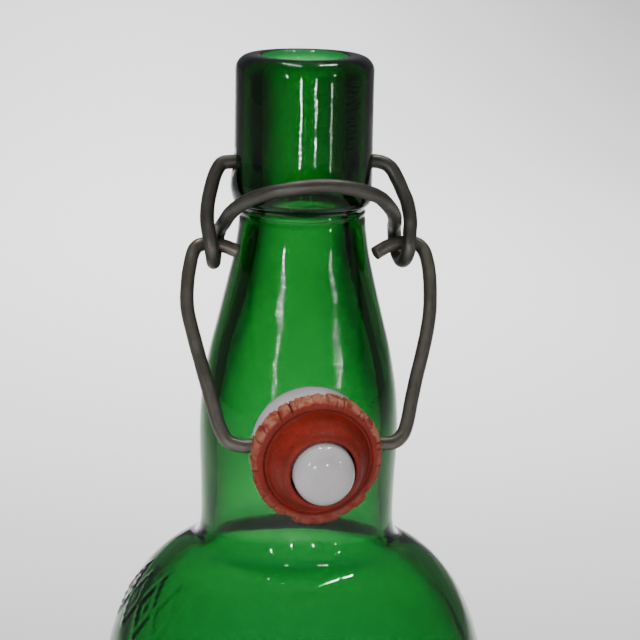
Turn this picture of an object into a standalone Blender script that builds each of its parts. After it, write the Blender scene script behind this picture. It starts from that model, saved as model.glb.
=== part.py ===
"""Swing top bottle: a green glass bottle whose porcelain stopper, with its rubber washer, hangs from a
wire bail on a wire lever. Metres, +Z up, the origin at the centre of the base. The front, where the
stopper hangs, faces -Y."""

from math import cos, pi, radians, sin

import bmesh
import bpy
from mathutils import Matrix, Vector

MM = 0.001

# Glass bottle, in millimetres
HEIGHT = 290.0
BODY_RADIUS = 39.0
HEEL_RADIUS = 6.0
WALL = 3.2
FOOT_INNER_RADIUS = 27.0
PUNT_HEIGHT = 4.5
FLOOR_THICKNESS = 5.0
SHOULDER_Z = 158.9
SHOULDER_CENTRE_RADIUS = 16.75
SHOULDER_RISE = 34.1
SHOULDER_LAST_ANGLE = 76.5
FINISH_RADIUS = 13.7
FINISH_BOTTOM = 260.4
FINISH_CORNER = 1.6
LIP_CORNER = 3.0
BORE_RADIUS = 8.3
BORE_CORNER = 1.2
GLASS_STEPS = 40

# Neck outline from the shoulder up to the finish: radius, height
NECK_OUTSIDE = [
    (21.0, 192.5), (20.3, 193.2), (19.8, 194.3), (19.5, 195.9), (19.4, 198.5), (19.6, 205.5), (19.9, 212.0), (19.9, 217.5),
    (19.45, 223.5), (18.1, 231.3), (16.3, 238.6), (14.5, 246.0), (13.4, 251.0), (12.75, 255.5), (12.5, 259.0),
]
NECK_INSIDE = [
    (16.3, 200.5), (16.2, 205.5), (16.4, 212.0), (16.3, 218.0), (15.4, 225.0),
    (13.5, 233.5), (11.3, 241.5), (9.6, 248.5), (8.6, 255.0), (BORE_RADIUS, 260.5),
]
SHOULDER_INSIDE = [
    (35.8, SHOULDER_Z), (35.4, 164.4), (34.1, 170.9), (31.9, 176.7), (28.8, 182.1), (25.3, 186.1), (22.0, 188.5),
    (19.3, 189.9), (17.6, 191.6), (16.8, 193.7), (16.5, 197.0),
]

# Lever wire, hinged in a dimple on each side of the finish. It was bent by hand, so its sides differ.
LEVER_WIRE_RADIUS = 1.4
HINGE_Z = 268.9
DIMPLE_RADIUS = 1.8
DIMPLE_FLOOR = 11.3
LEVER_LEFT = [
    (-11.7, 0.0, HINGE_Z), (-14.4, 0.0, HINGE_Z), (-16.2, -0.1, 268.5), (-17.5, -1.0, 266.6),
    (-18.5, -2.4, 263.7), (-19.2, -3.8, 260.8), (-19.4, -5.3, 257.9), (-19.2, -6.9, 255.8),
]
LEVER_RIGHT = [
    (20.4, -6.9, 255.8), (20.75, -5.3, 258.0), (20.35, -3.6, 261.2), (19.7, -2.7, 263.0),
    (18.7, -1.5, 265.4), (17.2, -0.4, 267.9), (14.8, 0.0, HINGE_Z), (11.7, 0.0, HINGE_Z),
]
LOOP_RADIUS = 3.4
LOOP_Z = 253.2
LOOP_LEFT_X = (-18.8, -17.1)
LOOP_RIGHT_X = (18.5, 20.2)
ARCH = [
    (-16.6, -2.4, 255.9), (-16.2, -5.6, 257.7), (-15.5, -10.0, 260.3), (-14.2, -13.4, 262.4),
    (-11.9, -16.5, 264.4), (-8.4, -19.0, 266.0), (-4.2, -20.5, 267.0), (0.0, -21.0, 267.5),
    (4.2, -20.7, 267.3), (8.4, -19.2, 266.3), (12.4, -16.5, 264.6), (14.9, -13.3, 262.3),
    (16.6, -9.9, 260.1), (17.5, -6.2, 258.0), (18.0, -2.7, 256.1),
]

# Bail wire, hung in the lever's two loops. Its points are (x, height below the loops).
BAIL_WIRE_RADIUS = 1.35
PIVOT = Vector((0.0, -4.5, 253.4))
CROSSBAR = Vector((0.0, -27.85, 218.7))
BAIL_OUTLINE = [
    (-13.3, 1.35), (-14.3, 1.0), (-15.6, 0.5), (-17.2, 0.1), (-19.0, 0.0), (-20.5, 0.1),
    (-21.6, 0.7), (-22.3, 1.9), (-22.8, 3.6), (-23.3, 5.6), (-23.6, 7.6), (-23.8, 9.7),
    (-23.7, 11.8), (-23.3, 13.9), (-22.4, 17.7), (-21.4, 21.6), (-20.4, 25.5), (-19.5, 29.0),
    (-18.6, 31.8), (-17.3, 33.8), (-15.2, 34.6), (-12.8, 34.7), (-6.0, 34.7), (0.0, 34.7),
    (6.0, 34.7), (12.4, 34.7), (14.6, 34.5), (16.3, 33.4), (17.5, 31.2), (18.7, 27.4),
    (20.1, 23.3), (21.5, 19.6), (22.8, 15.8), (23.7, 12.3), (24.15, 8.9), (24.3, 5.6),
    (24.1, 3.3), (23.6, 1.5), (22.6, 0.4), (21.2, 0.0), (19.4, 0.0), (17.6, 0.3),
    (16.0, 0.8), (14.9, 1.35), (13.8, 1.9),
]

# Porcelain head and its rubber washer, turned about the head's own axis: (radius, along the axis)
HEAD_X = -1.4
HEAD_PITCH = 11.0
HEAD_YAW = 3.0
HEAD_STEPS = 36
HOLE_RADIUS = 1.7
HOLE_END_RADIUS = 2.25
HEAD_OUTLINE = [
    (0.0, 13.9), (2.6, 13.85), (4.3, 13.4), (5.4, 12.5), (5.85, 11.4), (5.9, 10.2), (5.9, 3.0), (10.3, 3.0),
    (11.0, 2.7), (11.4, 1.9), (11.4, -1.4), (11.1, -2.9), (9.9, -4.3), (7.6, -5.6), (4.0, -6.4), (0.0, -6.6),
]
WASHER_OUTLINE = [
    (6.2, 3.3), (12.0, 3.3), (12.3, 3.7), (12.3, 6.3), (12.1, 6.6), (10.6, 6.7), (10.2, 6.2),
    (9.7, 6.6), (8.6, 8.3), (7.6, 9.9), (7.2, 10.4), (6.8, 10.6), (6.4, 10.5), (6.2, 10.2),
]

WIRE_SIDES = 10
WIRE_STEP = 1.3

GLASS = ("green_glass", (0.01, 0.22, 0.03), 0.05, 0.0)
WIRE = ("weathered_wire", (0.09, 0.08, 0.07), 0.5, 0.9)
PORCELAIN = ("white_porcelain", (0.78, 0.76, 0.73), 0.2, 0.0)
RUBBER = ("red_rubber", (0.42, 0.05, 0.03), 0.6, 0.0)


def clear_scene():
    for item in list(bpy.data.objects):
        bpy.data.objects.remove(item, do_unlink=True)


def material(name, colour, roughness, metallic):
    made = bpy.data.materials.new(name)
    made.use_nodes = True
    shader = made.node_tree.nodes["Principled BSDF"]
    shader.inputs["Base Color"].default_value = (*colour, 1.0)
    shader.inputs["Roughness"].default_value = roughness
    shader.inputs["Metallic"].default_value = metallic
    return made


def link(name, data, finish):
    made = bpy.data.objects.new(name, data)
    bpy.context.scene.collection.objects.link(made)
    if finish:
        data.materials.append(material(*finish))
    return made


def arc(centre, radius, start, end, steps):
    """Points (radius, height) round an arc, its angles in degrees."""
    for step in range(steps + 1):
        angle = radians(start + (end - start) * step / steps)
        yield centre[0] + radius * cos(angle), centre[1] + radius * sin(angle)


def shoulder(last_angle, steps):
    """Points (radius, height) up the elliptical shoulder from the body's straight side."""
    reach = BODY_RADIUS - SHOULDER_CENTRE_RADIUS
    for step in range(steps + 1):
        angle = radians(last_angle * step / steps)
        yield SHOULDER_CENTRE_RADIUS + reach * cos(angle), SHOULDER_Z + SHOULDER_RISE * sin(angle)


def bottle_outline():
    """The glass wall's outline, from the middle of the base up outside, over the lip and down inside."""
    outline = [(0.0, PUNT_HEIGHT), (14.0, PUNT_HEIGHT * 0.75), (23.0, PUNT_HEIGHT * 0.25)]
    outline.append((FOOT_INNER_RADIUS, 0.0))
    outline += arc((BODY_RADIUS - HEEL_RADIUS, HEEL_RADIUS), HEEL_RADIUS, -90, 0, 4)
    outline += [(BODY_RADIUS, 60.0), (BODY_RADIUS, 110.0)]
    outline += shoulder(SHOULDER_LAST_ANGLE, 10)
    outline += NECK_OUTSIDE
    corner_centre = (FINISH_RADIUS - FINISH_CORNER, FINISH_BOTTOM + FINISH_CORNER)
    outline += arc(corner_centre, FINISH_CORNER, -75, 0, 3)
    outline += [(FINISH_RADIUS, 274.0)]
    lip_centre = (FINISH_RADIUS - LIP_CORNER, HEIGHT - LIP_CORNER)
    outline += arc(lip_centre, LIP_CORNER, 0, 90, 4)
    outline += arc((BORE_RADIUS + BORE_CORNER, HEIGHT - BORE_CORNER), BORE_CORNER, 90, 180, 2)
    outline += [(BORE_RADIUS, 275.0)]
    outline += reversed(NECK_INSIDE)
    outline += reversed(SHOULDER_INSIDE)
    inside = BODY_RADIUS - WALL
    outline += [(inside, 110.0), (inside, 60.0), (inside, 14.0), (inside - 2.5, 9.0)]
    outline.append((inside - 8.0, FLOOR_THICKNESS + 1.5))
    outline += [(14.0, FLOOR_THICKNESS + PUNT_HEIGHT * 0.7), (0.0, FLOOR_THICKNESS + PUNT_HEIGHT)]
    return outline


def turned(name, outline, steps, finish, closed=False):
    """A mesh spun round Z from an outline of (radius, height), in millimetres."""
    mesh = bpy.data.meshes.new(name)
    shape = bmesh.new()
    ring = [shape.verts.new((radius * MM, 0.0, height * MM)) for radius, height in outline]
    edges = [shape.edges.new(pair) for pair in zip(ring, ring[1:])]
    if closed:
        edges.append(shape.edges.new((ring[-1], ring[0])))
    bmesh.ops.spin(
        shape, geom=ring + edges, cent=(0, 0, 0), axis=(0, 0, 1), angle=2 * pi, steps=steps, use_merge=True
    )
    bmesh.ops.remove_doubles(shape, verts=shape.verts, dist=1e-6)
    bmesh.ops.recalc_face_normals(shape, faces=shape.faces)
    shape.to_mesh(mesh)
    shape.free()
    mesh.shade_smooth()
    mesh.set_sharp_from_angle(angle=radians(40))
    return link(name, mesh, finish)


def cut(target, cutter):
    cutter.hide_render = True
    cutter.display_type = "WIRE"
    modifier = target.modifiers.new(cutter.name, "BOOLEAN")
    modifier.operation = "DIFFERENCE"
    modifier.solver = "EXACT"
    modifier.object = cutter


def smooth_path(points, step):
    """A smooth curve through the points, cut into pieces about one step long."""
    ends = [points[0] * 2 - points[1]] + points + [points[-1] * 2 - points[-2]]
    path = []
    for before, start, end, after in zip(ends, ends[1:], ends[2:], ends[3:]):
        pieces = max(1, round((end - start).length / step))
        for piece in range(pieces):
            t = piece / pieces
            path.append(
                0.5 * (2 * start + (end - before) * t + (2 * before - 5 * start + 4 * end - after) * t**2
                       + (3 * start - before - 3 * end + after) * t**3)
            )
    return path + [points[-1]]


def wire(name, points, radius, origin, finish):
    """A round wire along a smooth curve through the points, its object's origin on its joint's axis."""
    curve = bpy.data.curves.new(name, "CURVE")
    curve.dimensions = "3D"
    curve.bevel_depth = radius * MM
    curve.bevel_resolution = WIRE_SIDES // 2 - 2
    curve.use_fill_caps = True
    path = smooth_path(points, WIRE_STEP)
    spline = curve.splines.new("POLY")
    spline.points.add(len(path) - 1)
    for point, place in zip(spline.points, path):
        point.co = (*((place - origin) * MM), 1.0)
    made = link(name, curve, finish)
    made.location = origin * MM
    return made


def dimple(name, side):
    """A cutter for the round pocket that holds one end of the lever."""
    made = turned(name, [(0, DIMPLE_FLOOR), (DIMPLE_RADIUS, DIMPLE_FLOOR), (DIMPLE_RADIUS, 17), (0, 17)], 16, None)
    made.matrix_world = Matrix.Translation((0, 0, HINGE_Z * MM)) @ Matrix.Rotation(side * pi / 2, 4, "Y")
    return made


def glass_bottle():
    bottle = turned("glass_bottle", bottle_outline(), GLASS_STEPS, GLASS)
    cut(bottle, dimple("left_dimple_cutter", -1))
    cut(bottle, dimple("right_dimple_cutter", 1))


def hairpin(front_x, rear_x):
    """Points of one loop of the lever, from its front leg round underneath to its rear leg."""
    for step in range(5):
        angle = pi * step / 4
        x = front_x + (rear_x - front_x) * step / 4
        yield Vector((x, PIVOT.y - LOOP_RADIUS * cos(angle), LOOP_Z - LOOP_RADIUS * sin(angle)))


def lever_wire():
    points = [Vector(point) for point in LEVER_LEFT]
    points += hairpin(*LOOP_LEFT_X)
    points += [Vector(point) for point in ARCH]
    points += reversed(list(hairpin(*reversed(LOOP_RIGHT_X))))
    points += [Vector(point) for point in LEVER_RIGHT]
    wire("lever_wire", points, LEVER_WIRE_RADIUS, Vector((0.0, 0.0, HINGE_Z)), WIRE)


def bail_wire():
    slope = (CROSSBAR - PIVOT) / (PIVOT.z - CROSSBAR.z)
    points = [PIVOT + Vector((x, 0.0, 0.0)) + slope * drop for x, drop in BAIL_OUTLINE]
    wire("bail_wire", points, BAIL_WIRE_RADIUS, PIVOT, WIRE)


def head_pose():
    """The head's frame: its origin on the crossbar, its +Z out of the nub, forwards and a little down."""
    place = Matrix.Translation((CROSSBAR + Vector((HEAD_X, 0.0, 0.0))) * MM)
    yaw = Matrix.Rotation(radians(HEAD_YAW), 4, "Z")
    return place @ yaw @ Matrix.Rotation(radians(90 + HEAD_PITCH), 4, "X")


def stopper():
    head = turned("stopper_head", HEAD_OUTLINE, HEAD_STEPS, PORCELAIN)
    head.matrix_world = head_pose()
    hole = [(0, -14), (HOLE_END_RADIUS, -14), (HOLE_RADIUS, -2), (HOLE_RADIUS, 2), (HOLE_END_RADIUS, 14), (0, 14)]
    cutter = turned("crossbar_hole_cutter", hole, 16, None)
    cutter.matrix_world = head_pose() @ Matrix.Rotation(pi / 2, 4, "Y")
    cut(head, cutter)
    washer = turned("rubber_washer", WASHER_OUTLINE, HEAD_STEPS, RUBBER, closed=True)
    washer.matrix_world = head_pose()


def main():
    clear_scene()
    glass_bottle()
    lever_wire()
    bail_wire()
    stopper()


main()
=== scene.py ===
"""Looks of the swing top bottle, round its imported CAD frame: glass, bent wires, porcelain and old rubber."""

from math import atan2, cos, exp, hypot, pi, radians, sin

import bmesh
import bpy
from mathutils import Matrix, Vector, noise


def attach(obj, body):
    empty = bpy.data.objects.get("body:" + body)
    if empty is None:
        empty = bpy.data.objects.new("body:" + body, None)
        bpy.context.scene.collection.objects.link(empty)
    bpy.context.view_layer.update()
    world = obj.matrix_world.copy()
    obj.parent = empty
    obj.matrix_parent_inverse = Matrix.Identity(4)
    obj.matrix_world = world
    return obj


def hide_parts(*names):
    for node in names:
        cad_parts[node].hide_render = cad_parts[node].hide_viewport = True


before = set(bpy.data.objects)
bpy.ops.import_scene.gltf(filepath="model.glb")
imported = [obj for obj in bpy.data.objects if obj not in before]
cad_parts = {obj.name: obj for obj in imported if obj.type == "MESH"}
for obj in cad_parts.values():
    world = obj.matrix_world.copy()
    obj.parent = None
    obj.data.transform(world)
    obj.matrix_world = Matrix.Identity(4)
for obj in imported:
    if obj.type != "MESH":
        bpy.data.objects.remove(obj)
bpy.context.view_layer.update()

MM = 0.001

# The glass, in millimetres. An outline's points are (radius, height).
HEIGHT = 290.0
BODY_RADIUS = 39.0
HEEL_RADIUS = 6.0
WALL = 3.2
INSIDE_RADIUS = BODY_RADIUS - WALL
SHOULDER_Z = 158.9
SHOULDER_CENTRE_RADIUS = 16.75
SHOULDER_RISE = 34.1
SHOULDER_LAST_ANGLE = 76.5
FINISH_RADIUS = 13.7
FINISH_FOOT_Z = 262.0
FINISH_FOOT_ROUNDING = 1.6
LIP_ROUNDING = 3.0
BORE_RADIUS = 8.3
BORE_ROUNDING = 1.2
GLASS_SEGMENTS = 300
PUNT_OUTSIDE = [(0.0, 4.5), (14.0, 3.4), (23.0, 1.1), (27.0, 0.0)]
PUNT_INSIDE = [
    (INSIDE_RADIUS, 14.0), (INSIDE_RADIUS - 2.5, 9.0), (INSIDE_RADIUS - 8.0, 6.5), (14.0, 8.2), (0.0, 9.5),
]
NECK_OUTSIDE = [
    (21.0, 192.5), (20.3, 193.2), (19.8, 194.3), (19.5, 195.9), (19.4, 198.5), (19.6, 205.5), (19.9, 212.0),
    (19.9, 217.5), (19.45, 223.5), (18.1, 231.3), (16.3, 238.6), (14.5, 246.0), (13.4, 251.0), (12.75, 255.5),
    (12.55, 258.0),
]
NECK_RING = [(12.3, 258.35), (12.33, 258.7), (12.6, 259.1), (12.5, 259.5), (12.35, 259.75)]
NECK_INSIDE = [
    (16.3, 200.5), (16.2, 205.5), (16.4, 212.0), (16.3, 218.0), (15.4, 225.0),
    (13.5, 233.5), (11.3, 241.5), (9.6, 248.5), (8.6, 255.0), (BORE_RADIUS, 260.5),
]
SHOULDER_INSIDE = [
    (INSIDE_RADIUS, SHOULDER_Z), (35.4, 164.4), (34.1, 170.9), (31.9, 176.7), (28.8, 182.1), (25.3, 186.1),
    (22.0, 188.5), (19.3, 189.9), (17.6, 191.6), (16.8, 193.7), (16.5, 197.0),
]

# The dimples' cutter: radius, distance from the bottle's axis
DIMPLE = [(0.0, 11.3), (1.3, 11.35), (1.8, 11.8), (1.8, 13.0), (2.1, 14.6), (2.1, 17.0), (0.0, 17.0)]

# The unevenness of the glass's outside: slight waves, and a swelling on the left where the rim begins
FOOT_TOP = 8.0
WAVE_DEPTH = 0.12
WAVE_SCALE = 2.2
WAVE_STRETCH = 30.0
SWELLING = 0.75
SWELLING_AZIMUTH = pi * 1.02
SWELLING_Z = 264.5
SWELLING_SPREAD = 2.6
SWELLING_BAND = (260.5, 269.0)

# The row of raised lozenges on the left of the shoulder
LOZENGES = 5
LOZENGE_FIRST = radians(-184)
LOZENGE_PITCH = radians(11.6)
LOZENGE_RADIUS = 31.0
LOZENGE_Z = 181.5
LOZENGE_HALF_WIDTH = 2.6
LOZENGE_HALF_HEIGHT = 5.4
LOZENGE_RISE = 0.33
LOZENGE_EDGE = 0.13
LOZENGE_BOSS = 0.2
LOZENGE_BAND = (165.0, 192.0)

# The wires' paths, in the bottle's frame
HINGE_Z = 268.9
LEVER_WIRE_RADIUS = 1.4
LEVER_LEFT = [
    (-11.7, 0.0, HINGE_Z), (-14.4, 0.0, HINGE_Z), (-16.2, -0.1, 268.5), (-17.5, -1.0, 266.6),
    (-18.5, -2.4, 263.7), (-19.2, -3.8, 260.8), (-19.4, -5.3, 257.9), (-19.2, -6.9, 255.8),
]
LEVER_RIGHT = [
    (20.4, -6.9, 255.8), (20.75, -5.3, 258.0), (20.35, -3.6, 261.2), (19.7, -2.7, 263.0),
    (18.7, -1.5, 265.4), (17.2, -0.4, 267.9), (14.8, 0.0, HINGE_Z), (11.7, 0.0, HINGE_Z),
]
LOOP_RADIUS = 3.4
LOOP_Z = 253.2
LOOP_LEFT_FRONT_X, LOOP_LEFT_REAR_X = -18.8, -17.1
LOOP_RIGHT_FRONT_X, LOOP_RIGHT_REAR_X = 20.2, 18.5
ARCH = [
    (-16.6, -2.4, 255.9), (-16.2, -5.6, 257.7), (-15.5, -10.0, 260.3), (-14.2, -13.4, 262.4),
    (-11.9, -16.5, 264.4), (-8.4, -19.0, 266.0), (-4.2, -20.5, 267.0), (0.0, -21.0, 267.5),
    (4.2, -20.7, 267.3), (8.4, -19.2, 266.3), (12.4, -16.5, 264.6), (14.9, -13.3, 262.3),
    (16.6, -9.9, 260.1), (17.5, -6.2, 258.0), (18.0, -2.7, 256.1),
]
BAIL_WIRE_RADIUS = 1.35
PIVOT = Vector((0.0, -4.5, 253.4))
CROSSBAR = Vector((0.0, -27.85, 218.7))

# The bail's points: sideways, down from the pivot
BAIL_OUTLINE = [
    (-13.3, 1.35), (-14.3, 1.0), (-15.6, 0.5), (-17.2, 0.1), (-19.0, 0.0), (-20.5, 0.1),
    (-21.6, 0.7), (-22.3, 1.9), (-22.8, 3.6), (-23.3, 5.6), (-23.6, 7.6), (-23.8, 9.7),
    (-23.7, 11.8), (-23.3, 13.9), (-22.4, 17.7), (-21.4, 21.6), (-20.4, 25.5), (-19.5, 29.0),
    (-18.6, 31.8), (-17.3, 33.8), (-15.2, 34.6), (-12.8, 34.7), (-6.0, 34.7), (0.0, 34.7),
    (6.0, 34.7), (12.4, 34.7), (14.6, 34.5), (16.3, 33.4), (17.5, 31.2), (18.7, 27.4),
    (20.1, 23.3), (21.5, 19.6), (22.8, 15.8), (23.7, 12.3), (24.15, 8.9), (24.3, 5.6),
    (24.1, 3.3), (23.6, 1.5), (22.6, 0.4), (21.2, 0.0), (19.4, 0.0), (17.6, 0.3),
    (16.0, 0.8), (14.9, 1.35), (13.8, 1.9),
]

# The wires' mesh. The unevenness is in shares of the radius. The rings that close an end are
# (share of the radius, push outwards).
WIRE_SIDES = 20
WIRE_STEP = 0.5
WIRE_UNEVEN = 0.018
WIRE_DENTS = 0.012
WIRE_END = ((0.97, 0.05), (0.9, 0.09), (0.5, 0.06))

# The stopper. An outline's points are (radius, distance along the axis), and angles are in degrees.
HEAD_X = -1.4
HEAD_PITCH = 11.0
HEAD_YAW = 3.0
HEAD_OUTLINE = [
    (0.0, 13.9), (1.4, 13.88), (2.8, 13.75), (3.9, 13.45), (4.8, 12.95), (5.4, 12.3), (5.75, 11.5),
    (5.88, 10.6), (5.9, 9.5), (5.9, 6.5), (5.9, 3.4), (6.1, 3.05), (6.7, 3.0), (8.5, 3.0), (10.2, 2.98),
    (10.8, 2.8), (11.2, 2.4), (11.4, 1.7), (11.42, 0.2), (11.4, -1.4), (11.15, -2.7), (10.6, -3.7),
    (9.6, -4.55), (7.6, -5.6), (5.0, -6.25), (2.5, -6.55), (0.0, -6.6),
]
HEAD_SEGMENTS = 120
HALF_HOLE = [(1.7, 6.0), (1.9, 9.5), (2.25, 11.0), (2.5, 14.0), (0.0, 14.0)]
WASHER_OUTLINE = [
    (6.2, 3.3), (7.5, 3.3), (9.5, 3.3), (11.3, 3.3), (11.9, 3.35), (12.25, 3.6), (12.4, 4.0), (12.42, 4.5),
    (12.42, 5.0), (12.4, 5.5), (12.35, 5.95), (12.2, 6.35), (11.85, 6.6), (11.3, 6.68), (10.9, 6.7),
    (10.55, 6.6), (10.35, 6.3), (10.15, 6.15), (9.9, 6.3), (9.7, 6.7), (9.4, 7.15), (9.0, 7.75), (8.6, 8.35),
    (8.2, 8.95), (7.9, 9.4), (7.65, 9.85), (7.45, 10.2), (7.2, 10.45), (6.9, 10.6), (6.6, 10.6),
    (6.35, 10.5), (6.22, 10.2), (6.2, 9.0), (6.2, 7.0), (6.2, 5.0),
]
WASHER_SEGMENTS = 540
CUTTER_SEGMENTS = 40
ON_AXIS = 1e-6

# The washer's worn rim, and how far the nub and the washer lean and are oval, as shares
RIM_FROM = 10.9
RIM_WIDTH = 1.4
RIM_LIMIT = 12.6
RIM_MIDDLE = 4.5
BORE_TO = 6.3
CRACKED_FROM = 10.6
CRACKS = 31
NUB_FOOT = 3.05
LEAN_RIGHT = 0.065
LEAN_DOWN = 0.11
OVAL_LOWER = 0.06
OVAL_UPPER = 0.025

# The studio, in metres and watts
FLOOR_HALF_WIDTH = 2.2
FLOOR_FRONT = -2.2
FLOOR_BACK = 1.6
FLOOR_CURVE = 0.8
NECK_SPOT = (0.0, 0.0, 0.25)
WORLD_COLOUR = (0.92, 0.95, 1.0, 1)
WORLD_STRENGTH = 0.16
OVER_FLOOR_SPOT = (0.13, 1.4, 1.0)
OVER_FLOOR_SIZE = (0.45, 1.5)
OVER_FLOOR_WATTS = 12.8
KEY_SPOT = (-0.7, -0.9, 1.5)
KEY_SIZE = (0.4, 0.4)
KEY_WATTS = 12.5
PANEL_SPOTS = ((-0.42, 1.95, 0.36), (1.05, 1.7, 0.34))
PANEL_SIZE = (0.9, 0.62)
PANEL_WATTS = 1.0
CEILING_STRIPS = {
    "ceiling_left": ((-0.24, 0.48), (-0.08, 0.03)),
    "ceiling_right": ((0.23, 0.02), (0.52, 0.43)),
}
CEILING_STRIP_Z = 1.39
CEILING_STRIP_WIDTH = 0.02
CEILING_STRIP_WATTS = 4.0

# Narrow lamps in front, seen as streaks in the glass: azimuth, height, (width, length), watts
STREAK_DISTANCE = 0.95
STREAKS = {
    "rim_left": (-13, 0.147, (0.014, 0.075), 0.95),
    "rim_middle": (11, 0.142, (0.012, 0.06), 0.45),
    "rim_right": (38, 0.14, (0.012, 0.05), 0.12),
    "neck_left": (-37, 0.41, (0.011, 0.16), 1.15),
    "neck_right": (43, 0.4, (0.012, 0.14), 0.4),
}

# The camera, solved from the photo: its spot in metres, angles in degrees, sensor and lens in millimetres
CAMERA_SPOT = (-0.07237, -0.51494, 0.3495)
CAMERA_YAW = 8.432
CAMERA_PITCH = 12.2
CAMERA_ROLL = 1.15
SENSOR_WIDTH = 36.0
LENS = 150.1875


# ---- Materials ----


class Nodes:
    """A material's node tree, written a node at a time."""

    def __init__(self, name, own=False):
        self.own = own
        self.material = bpy.data.materials.new(name)
        self.material.use_nodes = True
        self.tree = self.material.node_tree
        self.shader = self.tree.nodes["Principled BSDF"]
        self.output = self.tree.nodes["Material Output"]

    def add(self, kind, settings=None, **inputs):
        """A node with its settings and inputs; an underscore in an input's name stands for a space."""
        node = self.tree.nodes.new(kind)
        for key, value in (settings or {}).items():
            setattr(node, key, value)
        for key, value in inputs.items():
            self.put(node.inputs[key.replace("_", " ")], value)
        return node

    def put(self, socket, value):
        """Links an output to the socket, or sets the socket's own value."""
        if isinstance(value, bpy.types.NodeSocket):
            self.tree.links.new(value, socket)
        else:
            socket.default_value = value

    def set(self, **inputs):
        """Fills in the shader's inputs."""
        for key, value in inputs.items():
            self.put(self.shader.inputs[key.replace("_", " ")], value)

    def place(self, scale=(1, 1, 1)):
        """The piece's own coordinates, stretched. A piece whose mesh was turned has them as an attribute."""
        if self.own:
            coordinates = self.add("ShaderNodeAttribute", {"attribute_name": "own"}).outputs["Vector"]
        else:
            coordinates = self.add("ShaderNodeTexCoord").outputs["Object"]
        if scale == (1, 1, 1):
            return coordinates
        return self.add("ShaderNodeMapping", Vector=coordinates, Scale=scale).outputs["Vector"]

    def split(self):
        """The piece's own X, Y and Z."""
        return self.add("ShaderNodeSeparateXYZ", Vector=self.place()).outputs

    def radius(self):
        """The distance from the piece's own Z axis, in millimetres."""
        x, y, _ = self.split()
        flat = self.add("ShaderNodeCombineXYZ", X=x, Y=y)
        length = self.add("ShaderNodeVectorMath", {"operation": "LENGTH"}, Vector=flat.outputs[0])
        return self.math("MULTIPLY", length.outputs["Value"], 1 / MM)

    def attribute(self, name):
        return self.add("ShaderNodeAttribute", {"attribute_name": name}).outputs["Fac"]

    def noise(self, scale, detail, vector=None, roughness=0.5):
        where = vector or self.place()
        made = self.add("ShaderNodeTexNoise", Vector=where, Scale=scale, Detail=detail, Roughness=roughness)
        return made.outputs["Fac"]

    def specks(self, scale, *stops):
        """Scattered round specks, the stops given by the distance from a speck's centre."""
        cells = self.add("ShaderNodeTexVoronoi", Vector=self.place(), Scale=scale)
        return self.ramp(cells.outputs["Distance"], *stops)

    def ramp(self, value, *stops):
        """A colour or a number that follows value; each stop is (position, colour or number)."""
        node = self.add("ShaderNodeValToRGB", Fac=value)
        while len(node.color_ramp.elements) < len(stops):
            node.color_ramp.elements.new(0.5)
        for element, (position, colour) in zip(node.color_ramp.elements, stops):
            element.position = position
            element.color = (*colour, 1) if isinstance(colour, tuple) else (colour, colour, colour, 1)
        return node.outputs["Color"]

    def math(self, operation, a, b):
        node = self.add("ShaderNodeMath", {"operation": operation})
        self.put(node.inputs[0], a)
        self.put(node.inputs[1], b)
        return node.outputs[0]

    def mix(self, factor, a, b):
        """A mix of two colours, which are the node's sockets 6 and 7 and its output 2."""
        node = self.add("ShaderNodeMix", {"data_type": "RGBA"})
        self.put(node.inputs["Factor"], factor)
        for socket, value in ((node.inputs[6], a), (node.inputs[7], b)):
            self.put(socket, (*value, 1) if isinstance(value, tuple) else value)
        return node.outputs[2]

    def bump(self, height, distance, normal=None):
        node = self.add("ShaderNodeBump", Height=height, Distance=distance)
        if normal:
            self.put(node.inputs["Normal"], normal)
        return node.outputs["Normal"]


def glass_material():
    """Drawn, slightly hammered glass, with fine ripples on the front of the neck and of the rim."""
    made = Nodes("green_glass")
    _, depth, height = made.split()
    facing = made.math("DIVIDE", made.math("MULTIPLY", depth, -1 / MM), made.radius())
    front = made.ramp(facing, (0.7, 0.0), (0.86, 1.0))
    neck = (0.64, 0.0), (0.67, 1.0), (0.745, 1.0), (0.76, 0.0)
    rim = (0.795, 0.0), (0.81, 0.36)
    where = made.math("MULTIPLY", front, made.ramp(made.math("MULTIPLY", height, 3.0), *neck, *rim))
    ripples = made.math("MULTIPLY", made.noise(760, 2.0, made.place((0.8, 0.8, 1.7))), where)
    hammered = made.bump(made.noise(190, 1.0), 0.04 * MM)
    drawn = made.bump(made.noise(90, 2.0, made.place((1, 1, 0.12))), 0.09 * MM, hammered)
    made.set(Normal=made.bump(ripples, 0.11 * MM, drawn))
    made.set(Base_Color=(0.85, 1.0, 0.95, 1), Roughness=0.015, IOR=1.5, Transmission_Weight=1.0)
    absorb = made.add("ShaderNodeVolumeAbsorption", Color=(0.44, 0.792, 0.565, 1), Density=1200)
    made.put(made.output.inputs["Volume"], absorb.outputs[0])
    return made.material


def wire_material(name, dark, light, rust):
    """Weathered wire: streaks along it, stains and fine pits."""
    made = Nodes(name)
    along = made.math("MULTIPLY", made.attribute("along"), 0.06)
    streak_place = made.add("ShaderNodeCombineXYZ", X=along, Y=made.attribute("round")).outputs[0]
    streaks = made.math("MULTIPLY", made.noise(2.6, 5.0, streak_place), 0.55)
    blotches = made.math("ADD", streaks, made.math("MULTIPLY", made.noise(230, 4.0), 0.45))
    colour = made.ramp(blotches, (0.3, dark), (0.7, light))
    stains = made.ramp(made.noise(420, 5.0), (0.5, 0.0), (0.75, 0.6))
    made.set(Base_Color=made.mix(stains, colour, rust), Metallic=0.8)
    made.set(Roughness=made.ramp(made.noise(700, 3.0), (0.3, 0.36), (0.75, 0.55)))
    scratched = made.bump(made.noise(3.2, 3.0, streak_place), 0.06 * MM)
    made.set(Normal=made.bump(made.noise(1900, 4.0), 0.04 * MM, scratched))
    return made.material


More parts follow.
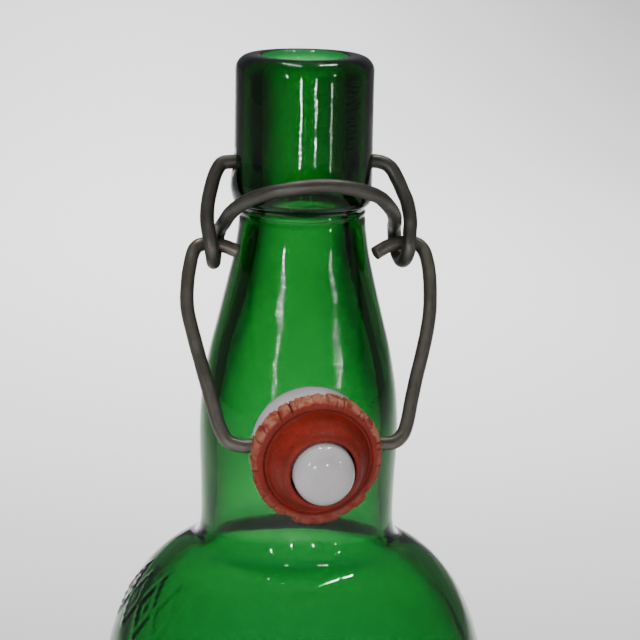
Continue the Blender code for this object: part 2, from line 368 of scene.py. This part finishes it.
def porcelain_material():
    """Greyish white glaze, with smudges and a few dark specks."""
    made = Nodes("white_porcelain", own=True)
    white = made.ramp(made.noise(120, 3.0), (0.3, (0.56, 0.53, 0.53)), (0.7, (0.66, 0.63, 0.63)))
    smudges = made.ramp(made.noise(430, 6.0, made.place((1, 2.2, 1)), 0.7), (0.6, 0.0), (0.75, 0.5))
    smudged = made.mix(smudges, white, (0.43, 0.38, 0.37))
    specks = made.specks(600, (0.04, 0.6), (0.09, 0.0))
    made.set(Base_Color=made.mix(specks, smudged, (0.16, 0.12, 0.1)), Roughness=0.16)
    made.set(Coat_Weight=0.6, Coat_Roughness=0.06, Normal=made.bump(made.noise(170, 2.0), 0.08 * MM))
    return made.material


def rubber_material():
    """Red rubber with faint turned rings, faded on the worn rim, and darker in its cracks: unfaded rubber
    there, with painted shade.
    """
    made = Nodes("red_rubber", own=True)
    _, up, outwards = made.split()
    radius = made.radius()
    fresh = made.ramp(made.noise(300, 4.0), (0.3, (0.2, 0.0095, 0.0035)), (0.7, (0.29, 0.017, 0.006)))
    turned = made.add("ShaderNodeCombineXYZ", X=radius, Y=made.math("MULTIPLY", outwards, 400.0))
    rings = made.ramp(made.noise(1.9, 4.0, turned.outputs[0]), (0.48, 0.0), (0.66, 0.7))
    ringed = made.mix(rings, fresh, (0.125, 0.022, 0.006))
    patches = made.noise(480, 5.0, roughness=0.7)
    faded = made.ramp(patches, (0.38, (0.27, 0.028, 0.011)), (0.6, (0.46, 0.19, 0.11)))
    ragged = made.math("MULTIPLY", made.noise(350, 4.0), 0.1)
    worn = made.ramp(made.math("ADD", made.math("MULTIPLY", radius, 0.08), ragged), (0.97, 0.0), (1.03, 1.0))
    upper = made.ramp(made.math("ADD", made.math("MULTIPLY", up, 40.0), 0.5), (0.35, 0.3), (0.8, 0.95))
    rim = made.math("MULTIPLY", worn, upper)
    # The cracks' colour is partly the unfaded rubber inside them and partly painted shade, darker than fresh
    # rubber.
    cracks = made.ramp(made.attribute("crack"), (0.12, 0.0), (0.7, 0.85))
    colour = made.mix(cracks, made.mix(rim, ringed, faded), (0.13, 0.012, 0.006))
    specks = made.specks(420, (0.05, 0.8), (0.1, 0.0))
    made.set(Base_Color=made.mix(specks, colour, (0.03, 0.008, 0.006)), Specular_IOR_Level=0.4)
    made.set(Roughness=made.ramp(made.noise(650, 3.0), (0.3, 0.4), (0.7, 0.62)))
    coarse = made.bump(made.noise(420, 4.0, roughness=0.6), 0.2 * MM)
    made.set(Normal=made.bump(made.noise(1700, 3.0), 0.06 * MM, coarse))
    return made.material


def paper_material():
    made = Nodes("paper")
    made.set(Base_Color=(0.8, 0.8, 0.805, 1), Roughness=0.8)
    return made.material


# ---- Shapes ----


def bell(x):
    """1 at 0, falling smoothly to nearly nothing at 2 either way."""
    return exp(-(x**2))


def arc(centre, radius, start, end, steps):
    """Points (radius, height) round an arc, its angles in degrees."""
    made = []
    for step in range(steps + 1):
        angle = radians(start + (end - start) * step / steps)
        made.append(Vector((centre[0] + radius * cos(angle), centre[1] + radius * sin(angle))))
    return made


def shoulder(steps):
    """Points (radius, height) up the elliptical shoulder from the body's straight side."""
    reach = BODY_RADIUS - SHOULDER_CENTRE_RADIUS
    made = []
    for step in range(steps + 1):
        angle = radians(SHOULDER_LAST_ANGLE * step / steps)
        radius = SHOULDER_CENTRE_RADIUS + reach * cos(angle)
        made.append(Vector((radius, SHOULDER_Z + SHOULDER_RISE * sin(angle))))
    return made


def straight(radius, heights):
    return [Vector((radius, height)) for height in heights]


def smooth_path(points, step):
    """A smooth curve through the points, cut into pieces about one step long."""
    points = [Vector(point) for point in points]
    ends = [points[0] * 2 - points[1]] + points + [points[-1] * 2 - points[-2]]
    path = []
    for before, start, end, after in zip(ends, ends[1:], ends[2:], ends[3:]):
        pieces = max(1, round((end - start).length / step))
        for piece in range(pieces):
            t = piece / pieces
            bend = (2 * before - 5 * start + 4 * end - after) * t**2
            twist = (3 * start - before - 3 * end + after) * t**3
            path.append(0.5 * (2 * start + (end - before) * t + bend + twist))
    return path + [points[-1]]


def outside_outline():
    """From the middle of the base out and up to the top of the lip."""
    outline = smooth_path(PUNT_OUTSIDE, 1.5)
    outline += arc((BODY_RADIUS - HEEL_RADIUS, HEEL_RADIUS), HEEL_RADIUS, -90, 0, 10)
    outline += straight(BODY_RADIUS, range(10, 158, 4))
    outline += shoulder(72)
    outline += smooth_path(NECK_OUTSIDE, 1.2)
    outline += [Vector(point) for point in NECK_RING]
    outline += arc((FINISH_RADIUS - FINISH_FOOT_ROUNDING, FINISH_FOOT_Z), FINISH_FOOT_ROUNDING, -70, 0, 8)
    outline += straight(FINISH_RADIUS, range(264, 287, 2))
    return outline + arc((FINISH_RADIUS - LIP_ROUNDING, HEIGHT - LIP_ROUNDING), LIP_ROUNDING, 0, 90, 12)


def inside_outline():
    """From the top of the lip into the bore, and down to the middle of the floor."""
    outline = arc((BORE_RADIUS + BORE_ROUNDING, HEIGHT - BORE_ROUNDING), BORE_ROUNDING, 90, 180, 8)
    outline += straight(BORE_RADIUS, range(286, 261, -2))
    outline += reversed(smooth_path(SHOULDER_INSIDE + NECK_INSIDE, 1.5))
    outline += straight(INSIDE_RADIUS, range(154, 14, -8))
    return outline + smooth_path(PUNT_INSIDE, 2.0)


def ornament(azimuth, height):
    """How far the lozenges stand out at a spot on the glass, from 0 to 1: an outline round a small boss."""
    best = 0.0
    azimuth = azimuth - 2 * pi if azimuth > 0 else azimuth
    for step in range(LOZENGES):
        across = (azimuth - LOZENGE_FIRST - LOZENGE_PITCH * step) * LOZENGE_RADIUS
        shape = abs(across) / LOZENGE_HALF_WIDTH + abs(height - LOZENGE_Z) / LOZENGE_HALF_HEIGHT
        best = max(best, bell((shape - 1) / LOZENGE_EDGE), 0.7 * bell(shape / LOZENGE_BOSS))
    return best


def bridge(shape, low, high):
    """Faces between two rings of vertices, one of which may be a single vertex on the axis."""
    count = max(len(low), len(high))
    for step in range(count):
        after = (step + 1) % count
        below = [low[step % len(low)], low[after % len(low)]]
        above = [high[after % len(high)], high[step % len(high)]]
        shape.faces.new(list(dict.fromkeys(below + above)))


def finished(name, shape):
    """A smooth mesh from the shape, which is then let go."""
    bmesh.ops.recalc_face_normals(shape, faces=shape.faces)
    mesh = bpy.data.meshes.new(name)
    shape.to_mesh(mesh)
    shape.free()
    mesh.shade_smooth()
    return mesh


def lathe(name, outline, segments, closed=False, shift=None, shifted=None):
    """A mesh turned round Z from an outline of (radius, height) in millimetres. shift gives each point
    (azimuth, radius, height) a new (radius, height); if shifted is a number, on that many first rows only."""
    shape = bmesh.new()
    rings = []
    for row, (radius, height) in enumerate(outline):
        if radius < ON_AXIS:
            rings.append([shape.verts.new((0, 0, height * MM))])
            continue
        moves = shift and (shifted is None or row < shifted)
        ring = []
        for step in range(segments):
            azimuth = -pi + 2 * pi * step / segments
            r, h = shift(azimuth, radius, height) if moves else (radius, height)
            ring.append(shape.verts.new((r * cos(azimuth) * MM, r * sin(azimuth) * MM, h * MM)))
        rings.append(ring)
    for low, high in zip(rings, rings[1:]):
        bridge(shape, low, high)
    if closed:
        bridge(shape, rings[-1], rings[0])
    return finished(name, shape)


def place(name, mesh, material, matrix=None):
    """A new object in the scene."""
    made = bpy.data.objects.new(name, mesh)
    bpy.context.scene.collection.objects.link(made)
    if material:
        mesh.materials.append(material)
    if matrix:
        made.matrix_world = matrix
    return made


def cut(target, cutter):
    """Cuts the cutter out of the target, and removes the cutter."""
    modifier = target.modifiers.new("cut", "BOOLEAN")
    modifier.operation = "DIFFERENCE"
    modifier.solver = "EXACT"
    modifier.object = cutter
    bpy.context.view_layer.update()
    result = bpy.data.meshes.new_from_object(target.evaluated_get(bpy.context.evaluated_depsgraph_get()))
    target.modifiers.remove(modifier)
    target.data = result
    bpy.data.objects.remove(cutter)


def stands_for(piece, node, body):
    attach(piece, body)
    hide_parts(node)


# ---- Glass ----


def shift_glass(azimuth, radius, height):
    """The outside's slight waves, the pattern on the shoulder and the swelling at the foot of the rim."""
    if height < FOOT_TOP:
        return radius, height
    spot = Vector((cos(azimuth), sin(azimuth), height / WAVE_STRETCH)) * WAVE_SCALE
    radius -= WAVE_DEPTH * (0.5 - 0.5 * noise.noise(spot))
    if SWELLING_BAND[0] < height < SWELLING_BAND[1]:
        left = max(0.0, cos(azimuth - SWELLING_AZIMUTH))
        radius += SWELLING * left**3 * bell((height - SWELLING_Z) / SWELLING_SPREAD)
    if LOZENGE_BAND[0] < height < LOZENGE_BAND[1]:
        radius += LOZENGE_RISE * ornament(azimuth, height)
    return min(radius, BODY_RADIUS), height


def glass_bottle():
    outside = outside_outline()
    outline = outside + inside_outline()
    mesh = lathe("bottle_glass", outline, GLASS_SEGMENTS, shift=shift_glass, shifted=len(outside))
    mesh.set_sharp_from_angle(angle=radians(50))
    bottle = place("bottle_glass", mesh, glass_material())
    for side in (-1, 1):
        turn = Matrix.Translation((0, 0, HINGE_Z * MM)) @ Matrix.Rotation(side * pi / 2, 4, "Y")
        cut(bottle, place("dimple", lathe("dimple", DIMPLE, CUTTER_SEGMENTS), None, turn))
    stands_for(bottle, "glass_bottle", "bottle")


# ---- Wires ----


def cap(shape, layers, ring, centre, outward, radius):
    """Closes a wire's end: flat, with its edge a little rounded."""
    for share, push in WIRE_END:
        smaller = []
        for vertex in ring:
            offset = vertex.co - centre * MM
            direction = (offset - offset.project(outward)).normalized()
            made = shape.verts.new((centre + direction * radius * share + outward * push) * MM)
            for layer in layers:
                made[layer] = vertex[layer]
            smaller.append(made)
        bridge(shape, ring, smaller)
        ring = smaller
    shape.faces.new(ring)


def tube(name, points, radius):
    """A round wire along a smooth curve, as drawn wire is: a little uneven, and cut square at the ends.
    Each vertex keeps how far along and where round the wire it lies."""
    path = smooth_path(points, WIRE_STEP)
    shape = bmesh.new()
    layers = [shape.verts.layers.float.new(layer) for layer in ("along", "round")]
    rings, tangents = [], []
    along, side = 0.0, None
    for index, point in enumerate(path):
        before, after = path[max(0, index - 1)], path[min(len(path) - 1, index + 1)]
        tangent = (after - before).normalized()
        if side is None:
            side = tangent.orthogonal().normalized()
        side = (side - tangent * side.dot(tangent)).normalized()
        up = tangent.cross(side)
        along += (point - path[index - 1]).length if index else 0.0
        thick = radius * (1 + WIRE_UNEVEN * noise.noise(point * 0.4))
        ring = []
        for turn in range(WIRE_SIDES):
            angle = 2 * pi * turn / WIRE_SIDES
            out = side * cos(angle) + up * sin(angle)
            dent = 1 + WIRE_DENTS * noise.noise((point + out * radius) * 1.3)
            vertex = shape.verts.new((point + out * thick * dent) * MM)
            for layer, value in zip(layers, (along, sin(angle) * 1.5 + cos(angle))):
                vertex[layer] = value
            ring.append(vertex)
        rings.append(ring)
        tangents.append(tangent)
    for low, high in zip(rings, rings[1:]):
        bridge(shape, low, high)
    cap(shape, layers, rings[0], path[0], -tangents[0], radius)
    cap(shape, layers, rings[-1], path[-1], tangents[-1], radius)
    mesh = finished(name, shape)
    mesh.set_sharp_from_angle(angle=radians(45))
    return mesh


def hairpin(front_x, rear_x):
    """The points of a loop at the lever's foot: down in front of the bail's end, under it, and up behind."""
    made = []
    for step in range(5):
        angle = pi * step / 4
        x = front_x + (rear_x - front_x) * step / 4
        made.append((x, PIVOT.y - LOOP_RADIUS * cos(angle), LOOP_Z - LOOP_RADIUS * sin(angle)))
    return made


def lever_wire():
    left = LEVER_LEFT + hairpin(LOOP_LEFT_FRONT_X, LOOP_LEFT_REAR_X)
    right = hairpin(LOOP_RIGHT_FRONT_X, LOOP_RIGHT_REAR_X)[::-1] + LEVER_RIGHT
    steel = wire_material("lever_steel", (0.078, 0.076, 0.067), (0.16, 0.152, 0.132), (0.125, 0.09, 0.062))
    lever = place("lever", tube("lever", left + ARCH + right, LEVER_WIRE_RADIUS), steel)
    stands_for(lever, "lever_wire", "lever")


def bail_wire():
    slope = (CROSSBAR - PIVOT) / (PIVOT.z - CROSSBAR.z)
    points = [PIVOT + Vector((x, 0.0, 0.0)) + slope * drop for x, drop in BAIL_OUTLINE]
    steel = wire_material("bail_steel", (0.11, 0.103, 0.088), (0.25, 0.232, 0.193), (0.17, 0.125, 0.088))
    bail = place("bail", tube("bail", points, BAIL_WIRE_RADIUS), steel)
    stands_for(bail, "bail_wire", "bail")


# ---- Stopper ----


def lean(mesh):
    """Tips the nub, and the washer on it, a little off the head's axis, and makes them a little oval."""
    for vertex in mesh.vertices:
        rise = max(0.0, vertex.co.z - NUB_FOOT * MM)
        share = min(1.0, rise / (2 * MM))
        vertex.co.y *= 1 + (OVAL_LOWER if vertex.co.y < 0 else OVAL_UPPER) * share
        vertex.co.x += LEAN_RIGHT * rise
        vertex.co.y -= LEAN_DOWN * rise


def hang(piece):
    """Hangs a piece of the stopper on the crossbar, its +Z out forwards and a little down. The mesh itself is
    turned, so its own coordinates are kept as an attribute."""
    own = piece.data.attributes.new("own", "FLOAT_VECTOR", "POINT")
    for vertex, value in zip(piece.data.vertices, own.data):
        value.vector = vertex.co
    turn = Matrix.Rotation(radians(HEAD_YAW), 4, "Z") @ Matrix.Rotation(radians(90 + HEAD_PITCH), 4, "X")
    piece.data.transform(turn)
    piece.matrix_world = Matrix.Translation((CROSSBAR + Vector((HEAD_X, 0.0, 0.0))) * MM)


def shift_head(azimuth, radius, height):
    """The porcelain's slight unevenness."""
    spot = Vector((cos(azimuth) * radius, sin(azimuth) * radius, height)) * 0.16
    return radius * (1 - 0.006 * abs(noise.noise(spot))), height + 0.06 * noise.noise(spot) * (radius / 11)


def stopper_head():
    mesh = lathe("stopper_head", HEAD_OUTLINE, HEAD_SEGMENTS, shift=shift_head)
    mesh.set_sharp_from_angle(angle=radians(50))
    lean(mesh)
    head = place("porcelain_head", mesh, porcelain_material())
    hole = [(radius, -along) for radius, along in reversed(HALF_HOLE)] + HALF_HOLE
    # Turned a little about its own axis too, so that none of its edges meets one of the head's
    turn = Matrix.Rotation(pi / 2, 4, "Y") @ Matrix.Rotation(radians(2.3), 4, "Z")
    cut(head, place("hole", lathe("hole", hole, CUTTER_SEGMENTS), None, turn))
    hang(head)
    stands_for(head, "stopper_head", "stopper")


def rim_cracks():
    """The cracks that part the washer's rim: (azimuth, half width, depth, wear of the block that follows)."""
    made = []
    for step in range(CRACKS):
        random = noise.cell_vector(Vector((step + 0.5, 7.5, 3.5)))
        azimuth = 2 * pi * (step + 0.45 * (random.x * 2 - 1)) / CRACKS - pi
        wear = noise.cell(Vector((step + 0.5, 1.5, 9.5)))
        top = max(0.0, sin(azimuth + 0.25))
        depth = (0.2 + 0.45 * random.z) * (0.8 + 1.1 * top)
        made.append((azimuth, 0.007 + 0.011 * random.y, depth, wear))
    return made


def rim_state(azimuth, cracks):
    """How deep a crack is at an azimuth, from 0 to 1.3, and how worn the block there is, from 0 to 1."""
    deep, wear, nearest = 0.0, 0.0, 2 * pi
    for centre, width, depth, block_wear in cracks:
        gap = (azimuth - centre + pi) % (2 * pi) - pi
        deep = max(deep, depth * bell(gap / width))
        if 0 <= gap < nearest:
            nearest, wear = gap, block_wear
    return deep, wear


def rubber_washer():
    cracks = rim_cracks()
    states = {}

    def shift(azimuth, radius, height):
        """The rim's cracks, worn blocks and lumps, and the slightly uneven cone inside them."""
        if azimuth not in states:
            states[azimuth] = rim_state(azimuth, cracks)
        deep, wear = states[azimuth]
        spot = Vector((cos(azimuth) * radius, sin(azimuth) * radius, height))
        lump = noise.noise(spot * 0.9) + 0.5 * noise.noise(spot * 2.3) + 0.3 * noise.noise(spot * 5.0)
        if radius > RIM_FROM:
            edge = (radius - RIM_FROM) / RIM_WIDTH
            radius = min(RIM_LIMIT, radius - edge * (0.8 * deep + 0.4 * wear + 0.36 * lump - 0.15))
            height += edge * (0.26 * lump - 0.3 * deep) * (1 if height > RIM_MIDDLE else 0.1)
        elif radius > BORE_TO:
            radius -= 0.04 * (lump + 1)
        return radius, height

    mesh = lathe("rubber_washer", WASHER_OUTLINE, WASHER_SEGMENTS, closed=True, shift=shift)
    crack = mesh.attributes.new("crack", "FLOAT", "POINT")
    for vertex, value in zip(mesh.vertices, crack.data):
        radius = hypot(vertex.co.x, vertex.co.y) / MM
        if radius > CRACKED_FROM:
            deep, _ = rim_state(atan2(vertex.co.y, vertex.co.x), cracks)
            value.value = deep * min(1.0, (radius - CRACKED_FROM) / 0.8)
    lean(mesh)
    washer = place("rubber_washer_ring", mesh, rubber_material())
    hang(washer)
    stands_for(washer, "rubber_washer", "stopper")


# ---- Studio ----


def backdrop():
    """A pale floor that curves up a little behind."""
    profile = [(FLOOR_FRONT, 0.0), (FLOOR_BACK, 0.0)]
    for angle in range(6, 55, 6):
        rise = FLOOR_CURVE - FLOOR_CURVE * cos(radians(angle))
        profile.append((FLOOR_BACK + FLOOR_CURVE * sin(radians(angle)), rise))
    mesh = bpy.data.meshes.new("floor")
    corners = [(x, y, z) for y, z in profile for x in (-FLOOR_HALF_WIDTH, FLOOR_HALF_WIDTH)]
    faces = [(2 * i, 2 * i + 1, 2 * i + 3, 2 * i + 2) for i in range(len(profile) - 1)]
    mesh.from_pydata(corners, [], faces)
    mesh.shade_smooth()
    place("floor", mesh, paper_material())


def area_light(name, spot, target, size, watts):
    """A rectangular lamp that the camera doesn't see, turned to face the target."""
    data = bpy.data.lights.new(name, "AREA")
    data.shape = "RECTANGLE"
    data.size, data.size_y = size
    data.energy = watts
    light = bpy.data.objects.new(name, data)
    bpy.context.scene.collection.objects.link(light)
    light.location = spot
    light.rotation_euler = (Vector(target) - Vector(spot)).to_track_quat("-Z", "Y").to_euler()
    light.visible_camera = False
    return light


def ceiling_strip(name, start, end):
    """A thin lamp overhead, from one spot (x, y) to another."""
    (x0, y0), (x1, y1) = start, end
    x, y = (x0 + x1) / 2, (y0 + y1) / 2
    size = (hypot(x1 - x0, y1 - y0), CEILING_STRIP_WIDTH)
    strip = area_light(name, (x, y, CEILING_STRIP_Z), (x, y, 0), size, CEILING_STRIP_WATTS)
    strip.rotation_euler = (0, 0, atan2(y1 - y0, x1 - x0))


def around(azimuth, distance, height):
    """A spot at an azimuth from straight in front, positive to the right."""
    return distance * sin(radians(azimuth)), -distance * cos(radians(azimuth)), height


def studio():
    """A dim world, soft lamps for the floor and the bottle, and thin ones for the glass to reflect."""
    world = bpy.data.worlds.new("studio")
    bpy.context.scene.world = world
    world.use_nodes = True
    world.node_tree.nodes["Background"].inputs["Color"].default_value = WORLD_COLOUR
    world.node_tree.nodes["Background"].inputs["Strength"].default_value = WORLD_STRENGTH
    below = (OVER_FLOOR_SPOT[0], OVER_FLOOR_SPOT[1], 0)
    over = area_light("over_floor", OVER_FLOOR_SPOT, below, OVER_FLOOR_SIZE, OVER_FLOOR_WATTS)
    over.data.spread = radians(90)
    key = area_light("key", KEY_SPOT, NECK_SPOT, KEY_SIZE, KEY_WATTS)
    for soft in (over, key):
        soft.visible_glossy = soft.visible_transmission = False
    for spot in PANEL_SPOTS:
        panel = area_light("panel", spot, NECK_SPOT, PANEL_SIZE, PANEL_WATTS)
        panel.visible_glossy = False
    for name, (start, end) in CEILING_STRIPS.items():
        ceiling_strip(name, start, end)
    for name, (azimuth, height, size, watts) in STREAKS.items():
        area_light(name, around(azimuth, STREAK_DISTANCE, height), NECK_SPOT, size, watts)


def camera():
    yaw, pitch, roll = radians(CAMERA_YAW), radians(CAMERA_PITCH), radians(CAMERA_ROLL)
    forward = Vector((sin(yaw) * cos(pitch), cos(yaw) * cos(pitch), -sin(pitch)))
    right = Vector((cos(yaw), -sin(yaw), 0.0))
    up = right.cross(forward)
    turned_right = right * cos(roll) + up * sin(roll)
    turned_up = up * cos(roll) - right * sin(roll)
    data = bpy.data.cameras.new("camera")
    data.sensor_width = SENSOR_WIDTH
    data.lens = LENS
    data.clip_start = 0.01
    made = bpy.data.objects.new("camera", data)
    bpy.context.scene.collection.objects.link(made)
    turn = Matrix((turned_right, turned_up, -forward)).transposed().to_4x4()
    made.matrix_world = Matrix.Translation(CAMERA_SPOT) @ turn
    bpy.context.scene.camera = made


glass_bottle()
lever_wire()
bail_wire()
stopper_head()
rubber_washer()
backdrop()
studio()
camera()
